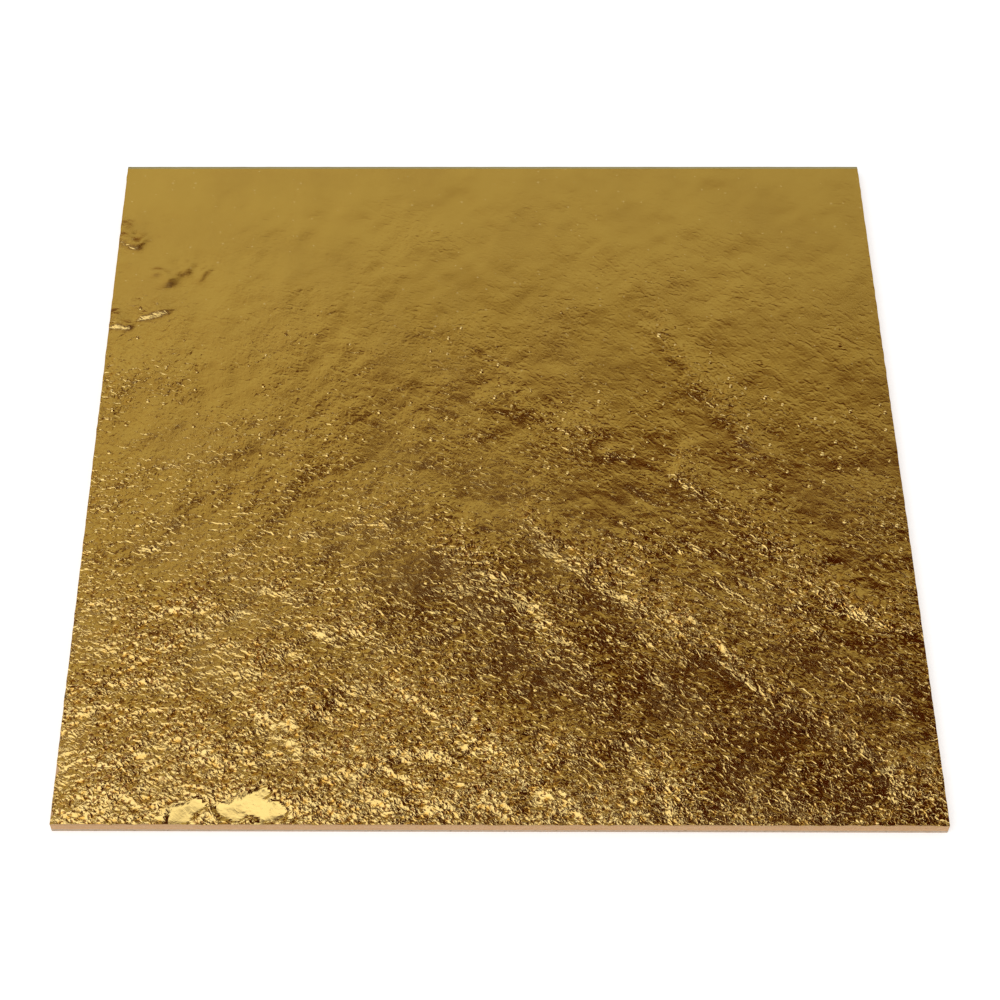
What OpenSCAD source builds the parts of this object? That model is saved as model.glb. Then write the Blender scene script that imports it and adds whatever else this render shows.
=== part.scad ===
// A bound book of gold leaf, lying open at its first leaf with the front cover folded round underneath.
// Millimetres. +Z is up, the spine is at +Y, the fore-edge at -Y, and the origin is under the middle.

/* [Gold leaf] */
// Side of each square gold leaf
leaf_side = 80; // [60:1:140]
// Thickness of a leaf, a stand-in for beaten gold far under a micron thick
leaf_t = 0.004; // [0.002:0.001:0.012]
// Number of leaves, each on its own tissue page
leaf_count = 25; // [5:1:26]

/* [Tissue pages] */
// How far a page reaches past its leaf on every side
page_margin = 0.2; // [0.1:0.1:6]
// Thickness of a rouged tissue page
tissue_t = 0.036; // [0.02:0.002:0.08]
// Width of bare card between the front crease and the edge of the guard tissue
guard_setback = 1; // [0.4:0.1:4]

/* [Card cover] */
// Thickness of the cover card
cover_t = 0.16; // [0.1:0.01:0.4]
// Clearance between the closed spine panel and the glue
spine_gap = 0.03; // [0.02:0.01:0.2]
// Clearance between the closed front cover's tissue and the first leaf
lid_gap = 0.03; // [0.02:0.01:0.2]

/* [Binding] */
// Depth of the padding glue behind the pages
glue_t = 0.1; // [0.05:0.01:0.4]

/* [Colours] */
gold = "#B8923A"; // [#B8923A, #C9A227]
rouged_tissue = "#D0A375"; // [#D0A375, #E3C9A8]
card = "#A98B6C"; // [#A98B6C, #8C8378]
glue = "#8E8550"; // [#8E8550, #C9C2A0]

/* [Hidden] */
page_side = leaf_side + 2 * page_margin;
pitch = tissue_t + leaf_t;
block_h = leaf_count * pitch;

// Height of the panel between the two creases: it has to clear the pages, the guard tissue and one card
spine_panel = block_h + tissue_t + cover_t + lid_gap;

// From fore-edge to the fold behind the spine
book_depth = page_side + glue_t + spine_gap + cover_t;
fore_y = -book_depth / 2;
fold_y = book_depth / 2;
page_back_y = fore_y + page_side;
front_crease_y = fold_y - spine_panel;

// Levels of the layers, from the surface that the book lies on
front_card_z = tissue_t;
back_card_z = front_card_z + cover_t;
block_z = back_card_z + cover_t;

function two_digits(i) = str(i < 10 ? "0" : "", i);
function page_name(i) = str("tissue_page_", two_digits(i));
function leaf_name(i) = str("gold_leaf_", two_digits(i));

// Pages count from the top, as they are turned
function page_z(i) = block_z + (leaf_count - i) * pitch;

// A flat sheet, centred on X, from one edge along Y to another and one level to another
module sheet(width, from_y, to_y, from_z, thickness) {
    translate([-width / 2, from_y, from_z]) cube([width, to_y - from_y, thickness]);
}

// A card panel with the outline of its edge, seen along X, given as [y, z] points
module card_panel(edge) {
    color(card)
        rotate([90, 0, 90])
            linear_extrude(height = page_side, center = true)
                polygon(edge);
}

// Mitred at the fold, so that the spine panel can stand against it at a right angle
module back_cover() {
    card_panel([
        [fore_y, back_card_z],
        [fold_y, back_card_z],
        [fold_y - cover_t, block_z],
        [fore_y, block_z]
    ]);
}

// Lies under the back cover here, and has the other half of the mitre
module cover_spine() {
    card_panel([
        [front_crease_y, front_card_z],
        [fold_y - cover_t, front_card_z],
        [fold_y, back_card_z],
        [front_crease_y, back_card_z]
    ]);
}

module front_cover() {
    card_panel([
        [fore_y, front_card_z],
        [front_crease_y, front_card_z],
        [front_crease_y, back_card_z],
        [fore_y, back_card_z]
    ]);
}

// Pasted to the inside of the front cover, which faces down while the cover is folded under
module guard_tissue() {
    color(rouged_tissue) sheet(page_side, fore_y, front_crease_y - guard_setback, 0, tissue_t);
}

// A film of padding glue over the back edges of all the pages
module spine_glue() {
    color(glue) sheet(page_side, page_back_y, page_back_y + glue_t, block_z, block_h - leaf_t);
}

module tissue_page(i) {
    color(rouged_tissue) sheet(page_side, fore_y, page_back_y, page_z(i), tissue_t);
}

module gold_leaf(i) {
    color(gold)
        sheet(leaf_side, fore_y + page_margin, page_back_y - page_margin, page_z(i) + tissue_t, leaf_t);
}

back_cover();
cover_spine();
front_cover();
guard_tissue();
spine_glue();
for (i = [1:leaf_count]) {
    tissue_page(i);
    gold_leaf(i);
}
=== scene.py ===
# %% [markdown]
# A bound book of gold leaf
#
# A gilder's book holds beaten leaves of gold. Each lies loose on a page of tissue that was rubbed with
# red bole, so that the gold doesn't cling to it. Here the book lies open at its first leaf, with the card
# cover folded round underneath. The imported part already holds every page, leaf and cover panel at its
# true size, so this script adds what thin flat solids can't say: the crinkled skin of the leaf on top,
# the glue between the pages, and how each surface takes the light. All of it could also be modelled again
# from nothing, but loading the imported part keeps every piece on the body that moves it.

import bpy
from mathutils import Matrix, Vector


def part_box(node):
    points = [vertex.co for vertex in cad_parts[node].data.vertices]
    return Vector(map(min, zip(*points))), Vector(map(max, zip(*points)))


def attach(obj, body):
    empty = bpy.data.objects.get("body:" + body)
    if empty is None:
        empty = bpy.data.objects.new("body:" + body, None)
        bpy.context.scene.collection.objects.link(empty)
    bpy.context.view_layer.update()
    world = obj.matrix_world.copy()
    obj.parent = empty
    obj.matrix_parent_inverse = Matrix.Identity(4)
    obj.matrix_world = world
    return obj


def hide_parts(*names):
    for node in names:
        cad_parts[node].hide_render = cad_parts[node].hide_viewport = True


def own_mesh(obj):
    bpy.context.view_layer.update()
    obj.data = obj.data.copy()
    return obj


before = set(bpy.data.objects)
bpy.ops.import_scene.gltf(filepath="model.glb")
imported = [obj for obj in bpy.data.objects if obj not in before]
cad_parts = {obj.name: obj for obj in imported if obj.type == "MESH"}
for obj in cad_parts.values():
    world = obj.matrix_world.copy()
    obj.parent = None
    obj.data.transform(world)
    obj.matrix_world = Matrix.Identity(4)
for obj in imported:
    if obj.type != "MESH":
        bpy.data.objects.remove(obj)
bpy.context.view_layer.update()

# %% [markdown]
# Measures
#
# Shapes here are worked out in millimetres, because a leaf's crinkles are a few hundredths of one, and
# turned into Blender's metres only when a mesh is made. The edges of the top page and its leaf are read
# from the frame rather than typed in, so the crinkled leaf always lies on them.

# %% Measure the top page
import math

import bpy
import numpy as np
from mathutils import Matrix, Vector

MM = 0.001
page_low, page_high = (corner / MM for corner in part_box("tissue_page_01"))
leaf_low, leaf_high = (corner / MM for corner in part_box("gold_leaf_01"))
page_top = page_high.z
leaf_thickness = leaf_high.z - leaf_low.z
print("top page at", round(page_top, 3), "mm, leaf", round(leaf_thickness, 4), "mm thick")

# %% [markdown]
# Building materials from nodes
#
# Every finish below is procedural: a small graph of nodes that works out a colour or a bump at each
# place. Such a graph can be drawn in the shader editor, but then it can't be read as text. Writing it out
# socket by socket hides what it does. So a few helpers carry the routine: `add` makes one node and fills
# its inputs, and the others stand for the nodes that come up again and again.

# %% Helpers for nodes
def add(tree, kind, inputs=None, **settings):
    """Adds a node, sets its options, then fills its inputs by name or number with values or with outputs."""
    node = tree.nodes.new(kind)
    for name, value in settings.items():
        setattr(node, name, value)
    for key, value in (inputs or {}).items():
        if isinstance(value, bpy.types.NodeSocket):
            tree.links.new(value, node.inputs[key])
        else:
            node.inputs[key].default_value = value
    return node


def maths(tree, operation, first, second=0.0, third=0.0):
    """The result of a Math node."""
    return add(tree, "ShaderNodeMath", {0: first, 1: second, 2: third}, operation=operation).outputs[0]


def place_maths(tree, operation, first, second):
    """The same for places and directions."""
    return add(tree, "ShaderNodeVectorMath", {0: first, 1: second}, operation=operation).outputs[0]


def turned(tree, place, angle):
    """A place turned about Z."""
    inputs = {"Vector": place, "Angle": angle}
    return add(tree, "ShaderNodeVectorRotate", inputs, rotation_type="Z_AXIS").outputs[0]


def fade(tree, value, start, end, first=0.0, last=1.0, kind="LINEAR"):
    """Goes from first to last while value goes from start to end, and stays there beyond them."""
    inputs = {"Value": value, "From Min": start, "From Max": end, "To Min": first, "To Max": last}
    return add(tree, "ShaderNodeMapRange", inputs, interpolation_type=kind).outputs[0]


def noise_value(tree, place, detail, roughness=0.5, distortion=0.0, scale=1.0):
    """Soft noise, mostly between 0.3 and 0.7."""
    inputs = {"Vector": place, "Scale": scale, "Detail": detail, "Roughness": roughness,
              "Distortion": distortion}
    return add(tree, "ShaderNodeTexNoise", inputs).outputs[0]


def blend_colours(tree, share, first, second):
    """Goes from the first colour to the second as share goes from 0 to 1."""
    return add(tree, "ShaderNodeMix", {0: share, 6: first, 7: second}, data_type="RGBA").outputs[2]


def bump(tree, height, rise, normal=None, strength=1.0):
    """The normal of a height that rises so many millimetres at 1, on top of another normal if given."""
    inputs = {"Height": height, "Distance": rise * MM, "Strength": strength}
    if normal is not None:
        inputs["Normal"] = normal
    return add(tree, "ShaderNodeBump", inputs).outputs[0]


print("node helpers ready")

# %% [markdown]
# Groups and materials
#
# A shader group is a small graph with named inputs and outputs, made once and placed in several
# materials, each with its own values. Copying its nodes into each material would look the same, but a
# change would then have to be made in every copy. The groups here put out only masks and heights. The
# shader stays in the material.

# %% Helpers for groups and materials
def new_group(name, inputs, outputs):
    """An empty shader group, with its input and output nodes."""
    group = bpy.data.node_groups.new(name, "ShaderNodeTree")
    for socket, kind, start in inputs:
        made = group.interface.new_socket(socket, in_out="INPUT", socket_type=kind)
        made.default_value = start
    for socket, kind in outputs:
        group.interface.new_socket(socket, in_out="OUTPUT", socket_type=kind)
    return group, group.nodes.new("NodeGroupInput").outputs, group.nodes.new("NodeGroupOutput").inputs


def use(tree, group, inputs):
    """Places a group in a material, with its own values."""
    return add(tree, "ShaderNodeGroup", inputs, node_tree=group).outputs


def new_material(name):
    """A material, its graph and its Principled shader."""
    material = bpy.data.materials.new(name)
    material.use_nodes = True
    tree = material.node_tree
    return material, tree, tree.nodes["Principled BSDF"]


print("group and material helpers ready")

# %% [markdown]
# Where a pattern sits
#
# Patterns are laid out in each piece's own millimetres, so they turn with a page and keep their real
# scale. Pages repeat, though, and real sheets never match each other, so every sheet's pattern is shifted
# along Z by a number that Blender draws from the object's name. The same name gives the same number each
# time.

# %% Place patterns on a sheet
SHEET_SHIFT = 400.0


def object_place(tree, unit):
    """Object coordinates, counted in a unit that is given in metres."""
    place = add(tree, "ShaderNodeTexCoord").outputs["Object"]
    return add(tree, "ShaderNodeVectorMath", {0: place, "Scale": 1 / unit}, operation="SCALE").outputs[0]


def sheet_place(tree):
    """Object coordinates in millimetres, shifted by sheet."""
    which = add(tree, "ShaderNodeObjectInfo").outputs["Random"]
    shift = add(tree, "ShaderNodeCombineXYZ", {"Z": maths(tree, "MULTIPLY", which, SHEET_SHIFT)}).outputs[0]
    return place_maths(tree, "ADD", object_place(tree, MM), shift)


print("sheets are shifted by up to", SHEET_SHIFT, "mm of pattern")

# %% [markdown]
# Crinkle, as a shader group
#
# Beaten gold is far thinner than a hair, and lies on its page in a web of tiny creases with rounded
# hollows between them. The creases under half a millimetre are too fine to be worth a mesh, so they are
# bumps. Plain noise alone looks like hammered metal. Folding the noise at its middle value puts a sharp
# line where it crosses, as a crease is, and mixing both gives creases with soft sides. Real creases also
# lean over, so the noise is read twice, the second time from a place that is moved by as much as the
# first reading is high. The pages, the glue and the flat leaves use the same group with other sizes.

# %% Crinkle group
NOISE_MIDDLE = 0.5
CRINKLE_LEAN = 0.7
FOLD_STEEPNESS = 3.0
FOLDED_SHARE = 0.35
CREST_FROM, CREST_FULL = 0.45, 0.75


def crinkle_noise(group, place, turn, wave):
    scaled = place_maths(group, "DIVIDE", turned(group, place, turn), wave)
    return noise_value(group, scaled, detail=1.0, roughness=0.35, distortion=0.3)


def make_crinkle_group():
    group, given, result = new_group(
        "crinkle",
        [("Place", "NodeSocketVector", (0, 0, 0)), ("Size", "NodeSocketFloat", 1.0),
         ("Stretch", "NodeSocketFloat", 2.0), ("Turn", "NodeSocketFloat", 0.0)],
        [("Height", "NodeSocketFloat"), ("Crest", "NodeSocketFloat")],
    )
    place, size, turn = given["Place"], given["Size"], given["Turn"]
    long_way = maths(group, "MULTIPLY", size, given["Stretch"])
    wave = add(group, "ShaderNodeCombineXYZ", {"X": long_way, "Y": size, "Z": size}).outputs[0]
    noise = crinkle_noise(group, place, turn, wave)
    ahead = maths(group, "MULTIPLY", maths(group, "SUBTRACT", noise, NOISE_MIDDLE), CRINKLE_LEAN)
    lean = add(group, "ShaderNodeCombineXYZ", {"Y": maths(group, "MULTIPLY", ahead, size)}).outputs[0]
    noise = crinkle_noise(group, place_maths(group, "ADD", place, lean), turn, wave)
    from_middle = maths(group, "ABSOLUTE", maths(group, "SUBTRACT", noise, NOISE_MIDDLE))
    crease = maths(group, "SUBTRACT", 1.0, maths(group, "MULTIPLY", from_middle, FOLD_STEEPNESS))
    unfolded = maths(group, "MULTIPLY", noise, 1 - FOLDED_SHARE)
    height = maths(group, "MULTIPLY_ADD", crease, FOLDED_SHARE, unfolded)
    group.links.new(height, result["Height"])
    group.links.new(fade(group, height, CREST_FROM, CREST_FULL), result["Crest"])
    return group


crinkle_group = make_crinkle_group()
print("made group", crinkle_group.name)

# %% [markdown]
# Fibres, as a shader group
#
# Tissue and card are both felted fibres, long and pale in the tissue, short and mixed in the card. Real
# strands could be modelled one by one, but at a few hundredths of a millimetre they would only cost
# triangles. Stretched noise that is nearly at its middle value makes thin wandering lines, and two layers
# that cross make a felt.

# %% Fibre group
STRAND_EDGE = 0.05
STRAND_TURNS = (0.3, 1.9)
FELT_SCALE = 1.6


def strand_layer(group, place, length, width, turn):
    """Thin lines that run along one direction, from 0 between them to 1 on them."""
    size = add(group, "ShaderNodeCombineXYZ", {"X": length, "Y": width, "Z": width}).outputs[0]
    scaled = place_maths(group, "DIVIDE", turned(group, place, turn), size)
    noise = noise_value(group, scaled, detail=1.0, distortion=1.2)
    from_middle = maths(group, "ABSOLUTE", maths(group, "SUBTRACT", noise, NOISE_MIDDLE))
    return fade(group, from_middle, STRAND_EDGE, 0.0, kind="SMOOTHSTEP")


def make_fibre_group():
    group, given, result = new_group(
        "fibres",
        [("Place", "NodeSocketVector", (0, 0, 0)), ("Length", "NodeSocketFloat", 3.0),
         ("Width", "NodeSocketFloat", 0.5)],
        [("Strands", "NodeSocketFloat"), ("Felt", "NodeSocketFloat")],
    )
    place, width = given["Place"], given["Width"]
    layers = [strand_layer(group, place, given["Length"], width, turn) for turn in STRAND_TURNS]
    group.links.new(maths(group, "MAXIMUM", *layers), result["Strands"])
    felt = noise_value(group, place_maths(group, "DIVIDE", place, width), detail=3.0, scale=FELT_SCALE)
    group.links.new(felt, result["Felt"])
    return group


fibre_group = make_fibre_group()
print("made group", fibre_group.name)

# %% [markdown]
# Rubbing, as a shader group
#
# Bole is rubbed into the tissue by hand, so its colour comes in soft cloudy strokes. The same kind of
# cloudiness tells where the gold is breathed on, how the card is mottled, and where the glue is thick.
# One group makes cloud at two scales, a hand's stroke and a fleck, and each finish decides what the cloud
# changes.

# %% Rubbing group
CLOUD_WINDOW = (0.3, 0.7)
FLECK_WINDOW = (0.58, 0.72)


def make_rubbing_group():
    group, given, result = new_group(
        "rubbing",
        [("Place", "NodeSocketVector", (0, 0, 0)), ("Stroke", "NodeSocketFloat", 12.0),
         ("Fleck", "NodeSocketFloat", 0.6)],
        [("Cloud", "NodeSocketFloat"), ("Flecks", "NodeSocketFloat")],
    )
    for size, window, mask in (("Stroke", CLOUD_WINDOW, "Cloud"), ("Fleck", FLECK_WINDOW, "Flecks")):
        noise = noise_value(group, place_maths(group, "DIVIDE", given["Place"], given[size]), detail=3.0)
        group.links.new(fade(group, noise, *window, kind="SMOOTHSTEP"), result[mask])
    return group


rubbing_group = make_rubbing_group()
print("made group", rubbing_group.name)

# %% [markdown]
# Specks, as a shader group
#
# A leaf carries single small dots: dust from the bole, and points that glint. The glints are low bumps,
# and also pale dots of painted glint in the colour. Scattering them as objects would take thousands, and
# plain noise makes them run into each other. A Voronoi texture divides the sheet into cells with one dot
# in each, and the random colour that it gives a cell serves as dice for whether its dot is there and how
# large it is. It works flat, in two dimensions, so that the dots stay round, and the shift by sheet goes
# into both of them.

# %% Speck group
SHIFT_ACROSS, SHIFT_ALONG = 0.37, 0.61
SMALLEST_DOT, DOT_SPREAD = 0.5, 0.7


def make_speck_group():
    group, given, result = new_group(
        "specks",
        [("Place", "NodeSocketVector", (0, 0, 0)), ("Spacing", "NodeSocketFloat", 2.0),
         ("Radius", "NodeSocketFloat", 0.25), ("Share", "NodeSocketFloat", 0.4)],
        [("Dots", "NodeSocketFloat")],
    )
    parts = add(group, "ShaderNodeSeparateXYZ", {0: given["Place"]}).outputs
    across = maths(group, "MULTIPLY_ADD", parts["Z"], SHIFT_ACROSS, parts["X"])
    along = maths(group, "MULTIPLY_ADD", parts["Z"], SHIFT_ALONG, parts["Y"])
    flat = add(group, "ShaderNodeCombineXYZ", {"X": across, "Y": along}).outputs[0]
    cell_place = {"Vector": place_maths(group, "DIVIDE", flat, given["Spacing"]), "Scale": 1.0}
    cells = add(group, "ShaderNodeTexVoronoi", cell_place, voronoi_dimensions="2D").outputs
    distance = maths(group, "MULTIPLY", cells["Distance"], given["Spacing"])
    dice = add(group, "ShaderNodeSeparateColor", {0: cells["Color"]}).outputs
    size = maths(group, "MULTIPLY_ADD", dice[1], DOT_SPREAD, SMALLEST_DOT)
    radius = maths(group, "MULTIPLY", given["Radius"], size)
    dot = fade(group, distance, radius, 0.0, kind="SMOOTHSTEP")
    kept = maths(group, "LESS_THAN", dice[0], given["Share"])
    group.links.new(maths(group, "MULTIPLY", dot, kept), result["Dots"])
    return group


speck_group = make_speck_group()
print("made group", speck_group.name)

# %% [markdown]
# Fine crinkles in the gold
#
# The crinkles come as a list of layers. The leaf on top has its large creases in the mesh and keeps only
# two fine layers as bumps, while the leaves between the pages, which are flat solids, have all of them as
# bumps. Each layer is set by how steeply it tilts the surface, so a smaller crinkle is also a lower one.
# Displacing the mesh this finely would take millions of triangles. On top of the layers come sparkles,
# low round bumps that catch the light one by one, only where the leaf is creased.

# %% Bumps of the gold
FINE_CRINKLES = [(0.48, 1.5, 0.6, 0.22), (0.29, 1.2, 1.1, 0.15)]
ALL_CRINKLES = [(0.9, 1.7, 0.3, 0.22), (2.4, 1.6, 0.7, 0.06)] + FINE_CRINKLES
SLOPE_TO_HEIGHT = 1.3
SPARKLES = {"Spacing": 1.7, "Radius": 0.26, "Share": 0.30}
SPARKLE_RISE = 0.07
SPARKLES_FROM, SPARKLES_FULL = 0.14, 0.30


def crinkle_bumps(tree, place, layers, amount):
    """The normal, and the crest mask of each layer. A layer is size, stretch, turn and slope."""
    normal, crests = None, []
    for size, stretch, turn, slope in layers:
        layer = use(tree, crinkle_group, {"Place": place, "Size": size, "Stretch": stretch, "Turn": turn})
        height = maths(tree, "MULTIPLY", layer["Height"], amount)
        normal = bump(tree, height, slope * size * SLOPE_TO_HEIGHT, normal)
        crests.append(layer["Crest"])
    return normal, crests


def sparkle_bumps(tree, place, amount, normal):
    dots = use(tree, speck_group, {"Place": place, **SPARKLES})["Dots"]
    shown = maths(tree, "MULTIPLY", dots, fade(tree, amount, SPARKLES_FROM, SPARKLES_FULL))
    return bump(tree, shown, SPARKLE_RISE, normal)


print(len(FINE_CRINKLES), "fine layers of crinkle, and", len(ALL_CRINKLES), "for a flat leaf")

# %% [markdown]
# The colour of gold
#
# Gold is a metal through and through, so its colour is all in the reflection. Light that meets it once
# comes back pale yellow, and light that bounces about in a crease comes back deep orange and then
# red-brown, because each bounce multiplies the colour again. A renderer would need many bounces between
# creases smaller than a pixel to show that, so the crests are painted the colour of one bounce and the
# hollows that of two or three. Where the leaf is strongly creased both are deeper, and its finest hollows
# are a red that is nearly black.

# %% Colours of the gold
GOLD_ONCE = (0.95, 0.73, 0.30, 1)
GOLD_TWICE, GOLD_TWICE_CREASED = (0.93, 0.67, 0.22, 1), (0.90, 0.62, 0.20, 1)
GOLD_DEEP, GOLD_DEEP_CREASED = (0.88, 0.60, 0.17, 1), (0.82, 0.46, 0.085, 1)
GOLD_HOLLOW = (0.21, 0.050, 0.001, 1)
TWICE_FROM, TWICE_FULL, ONCE_FULL = 0.1, 0.5, 0.95
HOLLOW_FROM, HOLLOW_FULL = 0.40, 0.10
DARKEST = 0.8


def gold_colour(tree, crest, finest_crest, creased, shadow):
    """crest and finest_crest are masks, creased picks the deeper set, and shadow darkens the hollows."""
    deep = blend_colours(tree, creased, GOLD_DEEP, GOLD_DEEP_CREASED)
    twice = blend_colours(tree, creased, GOLD_TWICE, GOLD_TWICE_CREASED)
    low = fade(tree, crest, TWICE_FROM, TWICE_FULL)
    high = fade(tree, crest, TWICE_FULL, ONCE_FULL)
    colour = blend_colours(tree, high, blend_colours(tree, low, deep, twice), GOLD_ONCE)
    hollow = fade(tree, finest_crest, HOLLOW_FROM, HOLLOW_FULL)
    darkness = maths(tree, "MINIMUM", maths(tree, "POWER", shadow, 2.0), DARKEST)
    return blend_colours(tree, maths(tree, "MULTIPLY", hollow, darkness), colour, GOLD_HOLLOW)


print("gold goes from", GOLD_ONCE[:3], "to", GOLD_HOLLOW[:3])

# %% [markdown]
# Gold leaf
#
# Two materials are made from this: one for the mesh on top, which carries its own crest mask, crease
# strength and shadow as attributes, and one for the flat leaves, which take them from the crinkle and
# rubbing groups. Specks of bole show through as small dull dots, and since bole isn't metal, they lower
# Metallic as well. Paler dots among them are a painted glint, and they lower Metallic in the same way.
# The leaf is a little mistier in some places than in others, as if breathed on, and roughness says that.

# %% Gold leaf finish
# Bole dust first, then paler dots of painted glint. Each is its speck settings, how strongly it shows, and
# its colour
BOLE_SPECKS_AND_PAINTED_GLINTS = [
    ({"Spacing": 2.9, "Radius": 0.20, "Share": 0.40}, 0.35, (0.62, 0.44, 0.16, 1)),
    ({"Spacing": 2.2, "Radius": 0.13, "Share": 0.30}, 0.4, (0.85, 0.62, 0.24, 1)),
]
GOLD_FLECK = 0.35
BREATH = {"Stroke": 9.0, "Fleck": GOLD_FLECK}
BREATH_ROUGHNESS = (0.10, 0.19)
FLAT_LEAF_PATCHES = {"Stroke": 30.0, "Fleck": GOLD_FLECK}
FLAT_LEAF_AMOUNT = (0.15, 0.9)
FLAT_LEAF_CREASED = 0.2


def mesh_value(tree, name):
    """A value that the mesh carries at each of its points."""
    return add(tree, "ShaderNodeAttribute", attribute_name=name).outputs["Fac"]


def add_specks(tree, place, colour):
    """The colour with its bole specks and painted glints, and how much of it is metal."""
    metal = 1.0
    for specks, weight, shade in BOLE_SPECKS_AND_PAINTED_GLINTS:
        dots = use(tree, speck_group, {"Place": place, **specks})["Dots"]
        shown = maths(tree, "MULTIPLY", dots, weight)
        colour = blend_colours(tree, shown, colour, shade)
        metal = maths(tree, "SUBTRACT", metal, shown)
    return colour, metal


def gold_material(name, layers, on_mesh):
    """on_mesh says that the mesh carries its own crest mask, crease strength and shadow."""
    material, tree, shader = new_material(name)
    place = sheet_place(tree)
    if on_mesh:
        amount, shadow = mesh_value(tree, "creasing"), mesh_value(tree, "hollows")
        creased = add(tree, "ShaderNodeClamp", {0: amount}).outputs[0]
    else:
        patches = use(tree, rubbing_group, {"Place": place, **FLAT_LEAF_PATCHES})
        amount = shadow = fade(tree, patches["Cloud"], 0.0, 1.0, *FLAT_LEAF_AMOUNT)
        creased = FLAT_LEAF_CREASED
    normal, crests = crinkle_bumps(tree, place, layers, amount)
    tree.links.new(sparkle_bumps(tree, place, amount, normal), shader.inputs["Normal"])
    crest = mesh_value(tree, "crest") if on_mesh else crests[0]
    colour = gold_colour(tree, crest, crests[-1], creased, shadow)
    colour, metal = add_specks(tree, place, colour)
    tree.links.new(colour, shader.inputs["Base Color"])
    tree.links.new(metal, shader.inputs["Metallic"])
    breath = use(tree, rubbing_group, {"Place": place, **BREATH})["Cloud"]
    tree.links.new(fade(tree, breath, 0.0, 1.0, *BREATH_ROUGHNESS), shader.inputs["Roughness"])
    return material


top_gold = gold_material("gold_leaf_on_top", FINE_CRINKLES, on_mesh=True)
page_gold = gold_material("gold_leaf_between_pages", ALL_CRINKLES, on_mesh=False)
print("made", top_gold.name, "and", page_gold.name)

# %% [markdown]
# Padding glue
#
# A brushed film of glue holds the back edges of the pages. It is dull olive, a little darker and glossier
# where it is thick, and the brush leaves fine lines along it, which is a crinkle that is stretched very
# long.

# %% Padding glue finish
GLUE_THIN = (0.33, 0.28, 0.11, 1)
GLUE_THICK = (0.22, 0.18, 0.06, 1)
GLUE_CLOUD = {"Stroke": 5.0, "Fleck": 0.5}
GLUE_ROUGHNESS = (0.6, 0.4)
BRUSH_LINES = {"Size": 0.4, "Stretch": 5.0, "Turn": 0.0}
BRUSH_RISE, BRUSH_STRENGTH = 0.02, 0.7


def glue_material():
    material, tree, shader = new_material("padding_glue")
    place = sheet_place(tree)
    thick = use(tree, rubbing_group, {"Place": place, **GLUE_CLOUD})["Cloud"]
    tree.links.new(blend_colours(tree, thick, GLUE_THIN, GLUE_THICK), shader.inputs["Base Color"])
    tree.links.new(fade(tree, thick, 0.0, 1.0, *GLUE_ROUGHNESS), shader.inputs["Roughness"])
    lines = use(tree, crinkle_group, {"Place": place, **BRUSH_LINES})["Height"]
    brushed = bump(tree, lines, BRUSH_RISE, strength=BRUSH_STRENGTH)
    tree.links.new(brushed, shader.inputs["Normal"])
    return material


glue = glue_material()
print("made", glue.name)

# %% [markdown]
# The colour of rouged tissue
#
# The pages are thin soft tissue, tan from the bole. Seen flat they are cloudy and dusty, with faint
# fibres and longer smears that run one way, as a hand rubs. Seen from the fore-edge they are one smooth
# band, with painted shade that makes it a little deeper under the gold and paler below, and at the back
# the glue has soaked a little way into them. Each sheet is a shade apart from the next, as sheets from
# different rubbings are. Painting all that by hand would need an image for each page, and the groups give
# it for nothing.

# %% Colour of the tissue
TISSUE_PALE = (0.81, 0.485, 0.222, 1)
TISSUE_TAN = (0.67, 0.375, 0.155, 1)
TISSUE_PAINTED_SHADE = (0.60, 0.36, 0.162, 1)
TISSUE_STRAND = (0.87, 0.66, 0.45, 1)
BOLE_SMEAR = (0.61, 0.32, 0.135, 1)
BOLE_RED = (0.48, 0.21, 0.09, 1)
SMEAR_TURN = 0.6
SMEAR_STRETCH = (0.25, 1.0, 1.0)
SMEARS_SHOWN, STRANDS_SHOWN, DUST_SHOWN = 0.35, 0.42, 0.6
PAINTED_SHADE_FROM, PAINTED_SHADE_FULL, PAINTED_SHADE_SHOWN = 0.45, 0.02, 0.8
SOAKED_FROM, SOAKED_FULL = 0.30, 0.15


def smeared(tree, place):
    """Drawn out along one direction, as a hand rubs."""
    return place_maths(tree, "MULTIPLY", turned(tree, place, SMEAR_TURN), SMEAR_STRETCH)


def rubbed_tissue(tree, place, strands):
    """What rubbing does to the face of a sheet."""
    rub = use(tree, rubbing_group, {"Place": place, "Stroke": 14.0, "Fleck": 0.4})
    smears = use(tree, rubbing_group, {"Place": smeared(tree, place), "Stroke": 3.2, "Fleck": 1.3})["Cloud"]
    colour = blend_colours(tree, rub["Cloud"], TISSUE_PALE, TISSUE_TAN)
    colour = blend_colours(tree, maths(tree, "MULTIPLY", smears, SMEARS_SHOWN), colour, BOLE_SMEAR)
    colour = blend_colours(tree, maths(tree, "MULTIPLY", strands, STRANDS_SHOWN), colour, TISSUE_STRAND)
    return blend_colours(tree, maths(tree, "MULTIPLY", rub["Flecks"], DUST_SHOWN), colour, BOLE_RED)


def edge_of_stack(tree, colour):
    """Painted shade, deeper towards the top page under the gold, and the colour of glue at the very back."""
    parts = add(tree, "ShaderNodeSeparateXYZ", {0: object_place(tree, MM)}).outputs
    # Painted shade under the gold, strongest just below the top page
    shade = fade(tree, parts["Z"], page_top - PAINTED_SHADE_FROM, page_top - PAINTED_SHADE_FULL, 0.0, PAINTED_SHADE_SHOWN)
    soaked = fade(tree, parts["Y"], page_high.y - SOAKED_FROM, page_high.y - SOAKED_FULL)
    return blend_colours(tree, soaked, blend_colours(tree, shade, colour, TISSUE_PAINTED_SHADE), GLUE_THIN)


print("tissue goes from", TISSUE_PALE[:3], "to", BOLE_RED[:3])

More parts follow.
